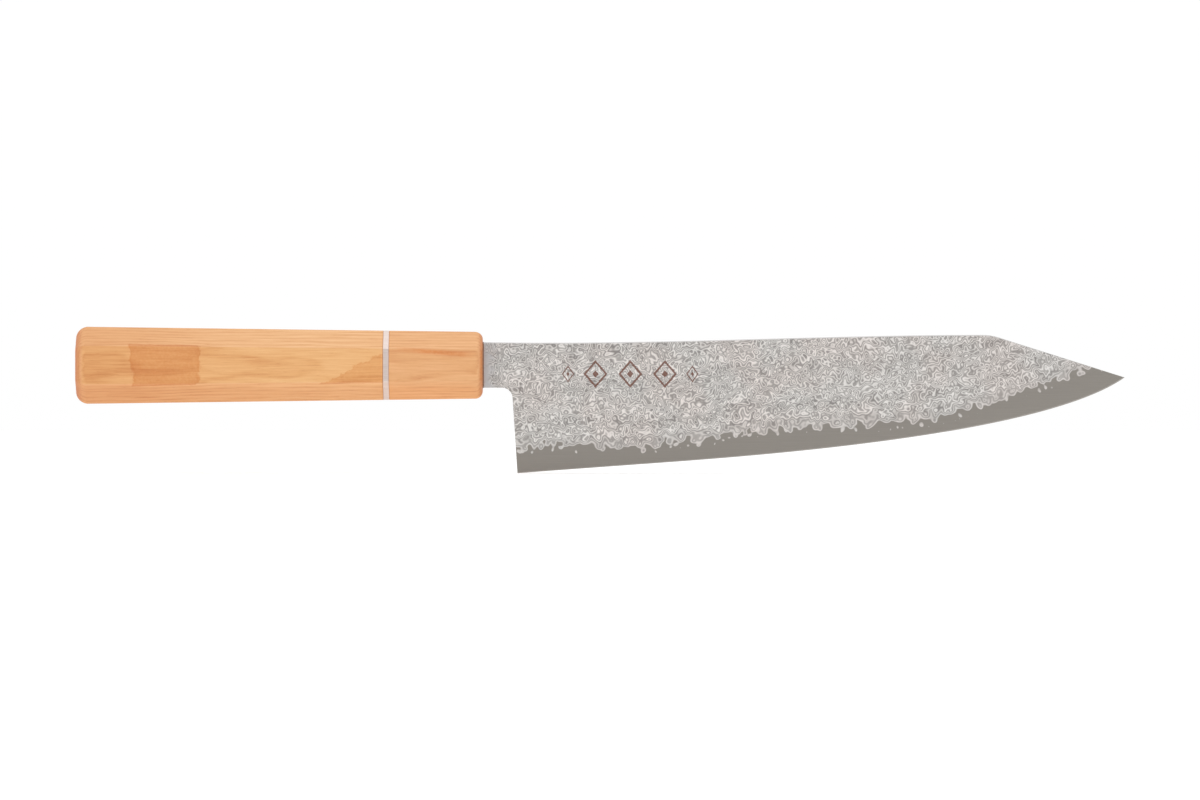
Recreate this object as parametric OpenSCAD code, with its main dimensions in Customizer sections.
// Chef's knife with a clipped tip, a layered blade and an eight-sided wooden handle.
//
// The knife is held as it is used: +X runs from the butt to the tip, +Z from the edge to the
// spine and +Y to the left of the blade. The origin is the middle of the ferrule's front face,
// in the blade's mid-plane. Sizes are in millimetres.

/* [Blade outline] */
// Length of the blade, from the heel corner to the tip
blade_l = 210; // [175:1:255]
// Height of the blade at the heel, from the edge to the spine
heel_h = 45.3; // [38:0.1:55]
// How far the heel corner stands in front of the ferrule
heel_x = 12; // [10:0.1:18]
// Lean of the heel line, in degrees
heel_lean = 3.7; // [0:0.1:8]
// Height of the spine above the middle of the handle, at the neck
spine_top = 8; // [6.7:0.1:9.6]
// How much the spine rises from the neck to the clip
spine_rise = 2.5; // [0:0.1:4]
// Dip of the spine as it leaves the neck, in degrees
spine_dip = 1.1; // [0:0.1:2]
// Height of the tip above the heel corner
tip_rise = 33.1; // [28:0.1:36]
// Fall of the clipped spine towards the tip, in degrees
clip_angle = 17.6; // [14:0.1:24]
// Radius where the spine turns down into the clip
clip_r = 17; // [5:0.5:20]

/* [Cutting edge] */
// Length of the straight part of the edge, from the heel
flat_l = 54.7; // [30:0.1:75]
// Rise of the straight part, in degrees
flat_rise = 4.16; // [2:0.01:6]
// Angle of the edge at the tip, in degrees
tip_angle = 35.4; // [25:0.1:42]
// Fullness of the belly behind its middle, as a share of its length
belly_back = 0.47; // [0.35:0.01:0.55]
// Fullness of the belly towards the tip, as a share of its length
belly_front = 0.16; // [0.1:0.01:0.3]
// Flat facets that make the curved part of the edge
belly_steps = 10; // [6:1:16]

/* [Blade section] */
// Thickness of the spine, neck and tang
blade_t = 2; // [1.8:0.05:2.4]
// Thickness just behind the sharpened edge
edge_t = 0.2; // [0.1:0.01:0.3]
// Thickness that each millimetre above the edge adds to one side
wedge = 0.02; // [0.015:0.001:0.03]
// Sharpening angle of each side, in degrees
sharpen_angle = 15; // [12:0.5:20]
// Thickness of the hard core layer
core_t = 0.48; // [0.42:0.01:0.6]

/* [Neck and tang] */
// Height of the neck, in front of the ferrule
neck_h = 15.75; // [13:0.05:18]
// Radius between the neck and the heel line
choil_r = 3.6; // [3:0.1:4.4]
// Length of the full-thickness neck, in front of the seal
neck_l = 3; // [2:0.1:4]
// Length of the slope from the neck to the ground faces
neck_slope_l = 6; // [4:0.5:8]
// Height of the tang at the neck
tang_h = 11; // [9:0.1:11.4]
// Height of the tang at its end
tang_end_h = 6; // [5:0.1:9]
// Length of the tang behind the ferrule's front face
tang_l = 95; // [79:1:98]

/* [Handle] */
// Length of the handle, with its ferrule and spacer
handle_l = 140.9; // [118:0.1:170]
// Height at the butt
butt_h = 26.7; // [22:0.1:32]
// Height at the ferrule's front
front_h = 23.05; // [20:0.05:28]
// Width at the butt
butt_w = 21; // [19:0.1:25]
// Width at the ferrule's front
front_w = 18.5; // [17.5:0.1:22]
// Corner cut of the eight sides at the butt, measured along the width and the height
butt_cut = 6.7; // [5.5:0.1:8]
// Corner cut at the ferrule's front
front_cut = 6.1; // [5:0.1:7.3]
// Rounding of the butt
butt_r = 4; // [1:0.1:5]
// Rounding of the ferrule's front
rim_r = 2.6; // [0.5:0.1:3]
// Length of the ferrule
ferrule_l = 32.2; // [27:0.1:39]
// Thickness of the metal spacer
spacer_t = 2.1; // [1.5:0.05:3]

/* [Inside the handle] */
// Diameter of the dowel that joins the handle, spacer and ferrule
dowel_d = 12; // [11.6:0.1:12.6]
// Length of the dowel
dowel_l = 105; // [101:1:112]
// Gap around the dowel
dowel_gap = 0.1; // [0.05:0.05:0.2]
// Space behind the dowel at the bottom of the drilled hole
bore_end_gap = 1.5; // [0.5:0.1:3]
// Thickness of the ferrule's front wall
ferrule_wall = 4; // [3:0.1:6]
// Layer of adhesive on each side of the tang
glue_t = 0.15; // [0.1:0.01:0.3]
// Thickness of the seal between the neck and the ferrule
seal_t = 0.3; // [0.2:0.05:0.5]
// How far the seal stands out around the neck
seal_lip = 0.25; // [0.1:0.05:0.5]

/* [Hidden] */
$fn = 96;
STEEL = [0.74, 0.72, 0.70];
CORE_STEEL = [0.54, 0.52, 0.49];
WOOD = [0.90, 0.68, 0.47];
FERRULE_WOOD = [0.91, 0.67, 0.48];
SPACER_METAL = [0.82, 0.78, 0.76];
RESIN = [0.30, 0.24, 0.20];
DOWEL_WOOD = [0.86, 0.76, 0.60];

MARGIN = 6;                   // how far a cutting shape reaches past what it cuts
ARC_STEPS = 8;                // straight steps in each small rounding
SPINE_STEPS = 12;             // straight steps along the spine
FAR = blade_l + handle_l;     // longer than anything that is cut

heel = [heel_x, spine_top - heel_h];
tip = [heel_x + blade_l, heel[1] + tip_rise];
spine_end_z = spine_top + spine_rise;
clip = [tip[0] - (spine_end_z - tip[1]) / tan(clip_angle), spine_end_z];
neck_bottom = spine_top - neck_h;
spine_start = [seal_t, spine_top];
spine_stop = [clip[0] - clip_r * tan(clip_angle / 2) - 1, spine_end_z];
spine_lead = (spine_stop[0] - spine_start[0]) / 3;
flat_end = heel + flat_l * [cos(flat_rise), sin(flat_rise)];
belly_l = norm(tip - flat_end);
bevel_h = edge_t / 2 / (tan(sharpen_angle) - wedge);   // height of the sharpened strip
core_h = (core_t - edge_t) / 2 / wedge;                // where the core layer comes to the surface
full_h = (blade_t - edge_t) / 2 / wedge;               // where the faces reach the full thickness
bore_d = dowel_d + 2 * dowel_gap;
bore_l = dowel_l + bore_end_gap;
slot_w = blade_t + 2 * glue_t;
slot_h = tang_h + 2 * glue_t;
kerf_end = tang_l + glue_t;                            // depth of the saw cut in the dowel
spacer_x = -ferrule_l;                                 // front face of the spacer
body_x = -ferrule_l - spacer_t;                        // front face of the handle body

// A point on a cubic curve from a to d, led by b and c.
function curve_point(a, b, c, d, t) =
    pow(1 - t, 3) * a + 3 * pow(1 - t, 2) * t * b + 3 * (1 - t) * t * t * c + pow(t, 3) * d;
function curve(a, b, c, d, steps) = [for (i = [0:steps]) curve_point(a, b, c, d, i / steps)];
function unit(v) = v / norm(v);
// The arc of radius r that rounds the corner b between a and c.
function rounded(a, b, c, r) =
    let (u = unit(a - b), v = unit(c - b), half = acos(u * v) / 2)
    let (start = b + u * r / tan(half), stop = b + v * r / tan(half))
    let (centre = b + unit(u + v) * r / sin(half), p = start - centre, q = stop - centre)
    let (sweep = 180 - 2 * half, turn = sign(p[0] * q[1] - p[1] * q[0]) * sweep)
    [for (i = [0:ARC_STEPS]) centre + turned(p, turn * i / ARC_STEPS)];
function turned(p, angle) =
    [p[0] * cos(angle) - p[1] * sin(angle), p[0] * sin(angle) + p[1] * cos(angle)];

// The edge as straight steps: the flat part and then the belly.
belly = curve(flat_end, flat_end + belly_back * belly_l * [cos(flat_rise), sin(flat_rise)],
              tip - belly_front * belly_l * [cos(tip_angle), sin(tip_angle)], tip, belly_steps);
edge = concat([heel], belly);

// The blade's outline seen from the side. It runs past the edge, which the ground faces make.
past_tip = tip + MARGIN * [cos(clip_angle), -sin(clip_angle)];
past_heel = heel + MARGIN * [sin(heel_lean), -cos(heel_lean)];
choil_corner = [heel[0] - (neck_bottom - heel[1]) * tan(heel_lean), neck_bottom];
tang_outline = [[-tang_l, tang_end_h / 2], [seal_t, tang_h / 2],
                [seal_t, -tang_h / 2], [-tang_l, -tang_end_h / 2]];
outline = concat(
    [tang_outline[0], tang_outline[1]],
    curve(spine_start, spine_start + spine_lead * [cos(spine_dip), -sin(spine_dip)],
          spine_stop - spine_lead * [1, 0], spine_stop, SPINE_STEPS),
    rounded(spine_stop, clip, tip, clip_r),
    [past_tip, [past_tip[0], past_heel[1]], past_heel],
    rounded(heel, choil_corner, [seal_t, neck_bottom], choil_r),
    [[seal_t, neck_bottom], tang_outline[2], tang_outline[3]]);

// Half sections: distance above the edge, then distance from the mid-plane.
core_section = [[0, 0], [bevel_h, edge_t / 2 + wedge * bevel_h], [core_h, core_t / 2],
                [FAR, core_t / 2], [FAR, -core_t / 2], [core_h, -core_t / 2],
                [bevel_h, -edge_t / 2 - wedge * bevel_h]];
cladding_section = [[core_h, core_t / 2], [full_h, blade_t / 2], [FAR, blade_t / 2],
                    [FAR, core_t / 2]];

// Stands a shape drawn as [x, z] upright, from y0 to y1.
module upright(y0, y1) {
    translate([0, y1, 0]) rotate([90, 0, 0]) linear_extrude(y1 - y0) children();
}

// A long bar with the given section, whose zero line lies on the edge between two points.
module ground_bar(a, b, section) {
    angle = atan2(b[1] - a[1], b[0] - a[0]);
    translate([a[0], 0, a[1]]) rotate([0, -angle, 0]) translate([-FAR, 0, 0])
        rotate([90, 0, 90]) linear_extrude(2 * FAR) polygon([for (p = section) [p[1], p[0]]]);
}

// What the grinding leaves: each flat of the edge cuts the faces along its own bar.
module ground(section) {
    intersection_for (i = [0:len(edge) - 2]) ground_bar(edge[i], edge[i + 1], section);
}

// Full-thickness steel of one cladding at the tang and neck, with a slope to the ground face.
module neck_block() {
    start = seal_t + neck_l;
    translate([0, 0, -heel_h]) linear_extrude(2 * heel_h)
        polygon([[-tang_l - MARGIN, core_t / 2], [start + neck_slope_l, core_t / 2],
                 [start, blade_t / 2], [-tang_l - MARGIN, blade_t / 2]]);
}

module cladding() {
    intersection() {
        upright(0, blade_t) polygon(outline);
        union() {
            ground(cladding_section);
            neck_block();
        }
    }
}

module blade_core() {
    color(CORE_STEEL) intersection() {
        upright(-blade_t, blade_t) polygon(outline);
        ground(core_section);
    }
}

module cladding_left() {
    color(STEEL) cladding();
}

module cladding_right() {
    color(STEEL) mirror([0, 1, 0]) cladding();
}

// The tang as a plain bar, for what is shaped around it.
module tang_bar() {
    upright(-blade_t / 2, blade_t / 2) polygon(tang_outline);
}

module mouth_seal() {
    color(RESIN) difference() {
        translate([0, -blade_t / 2 - seal_lip, neck_bottom - seal_lip])
            cube([seal_t, blade_t + 2 * seal_lip, neck_h + 2 * seal_lip]);
        translate([-MARGIN, -blade_t / 2, -tang_h / 2]) cube([2 * MARGIN, blade_t, tang_h]);
    }
}

// Half size of the handle at x, between its butt and front values.
function at_x(x, butt, front) = front + (butt - front) * -x / handle_l;

// A tapered slab from x0 to x1, as wide as needed, with its four ends rounded.
module slab(x0, x1, butt, front, r0, r1) {
    a = at_x(x0, butt, front);
    b = at_x(x1, butt, front);
    back = r0 > 0 ? concat(rounded([x1, -b], [x0, -a], [x0, a], r0),
                           rounded([x0, -a], [x0, a], [x1, b], r0)) : [[x0, -a], [x0, a]];
    ahead = r1 > 0 ? concat(rounded([x0, a], [x1, b], [x1, -b], r1),
                            rounded([x1, b], [x1, -b], [x0, -a], r1)) : [[x1, b], [x1, -b]];
    upright(-butt_h, butt_h) polygon(concat(back, ahead));
}

// An eight-sided length of the handle: four slabs crossed at an eighth of a turn.
module eight_sided(x0, x1, r0 = 0, r1 = 0) {
    butt_slant = (butt_h / 2 + butt_w / 2 - butt_cut) / sqrt(2);
    front_slant = (front_h / 2 + front_w / 2 - front_cut) / sqrt(2);
    intersection() {
        slab(x0, x1, butt_h / 2, front_h / 2, r0, r1);
        rotate([90, 0, 0]) slab(x0, x1, butt_w / 2, front_w / 2, r0, r1);
        rotate([45, 0, 0]) slab(x0, x1, butt_slant, front_slant, r0, r1);
        rotate([-45, 0, 0]) slab(x0, x1, butt_slant, front_slant, r0, r1);
    }
}

// A round bar along the handle, from x0 back to x1.
module round_bar(x0, x1, d) {
    translate([x1, 0, 0]) rotate([0, 90, 0]) cylinder(h = x0 - x1, d = d);
}

module bore(x0) {
    round_bar(x0, -ferrule_wall - bore_l, bore_d);
}

module ferrule() {
    color(FERRULE_WOOD) difference() {
        eight_sided(spacer_x, 0, 0, rim_r);
        bore(-ferrule_wall);
        translate([-ferrule_wall - MARGIN, -slot_w / 2, -slot_h / 2])
            cube([ferrule_wall + 2 * MARGIN, slot_w, slot_h]);
    }
}

module spacer() {
    color(SPACER_METAL) difference() {
        eight_sided(body_x, spacer_x);
        bore(spacer_x + MARGIN);
    }
}

module handle_body() {
    color(WOOD) difference() {
        eight_sided(-handle_l, body_x, butt_r, 0);
        bore(body_x + MARGIN);
    }
}

module dowel() {
    color(DOWEL_WOOD) difference() {
        round_bar(-ferrule_wall, -ferrule_wall - dowel_l, dowel_d);
        translate([-kerf_end, -slot_w / 2, -dowel_d])
            cube([kerf_end, slot_w, 2 * dowel_d]);
    }
}

module tang_adhesive() {
    color(RESIN) difference() {
        union() {
            intersection() {
                round_bar(-ferrule_wall, -kerf_end, dowel_d);
                translate([-kerf_end, -slot_w / 2, -dowel_d])
                    cube([kerf_end, slot_w, 2 * dowel_d]);
            }
            translate([-ferrule_wall, -slot_w / 2, -slot_h / 2])
                cube([ferrule_wall, slot_w, slot_h]);
        }
        tang_bar();
    }
}

blade_core();
cladding_left();
cladding_right();
mouth_seal();
ferrule();
spacer();
handle_body();
dowel();
tang_adhesive();
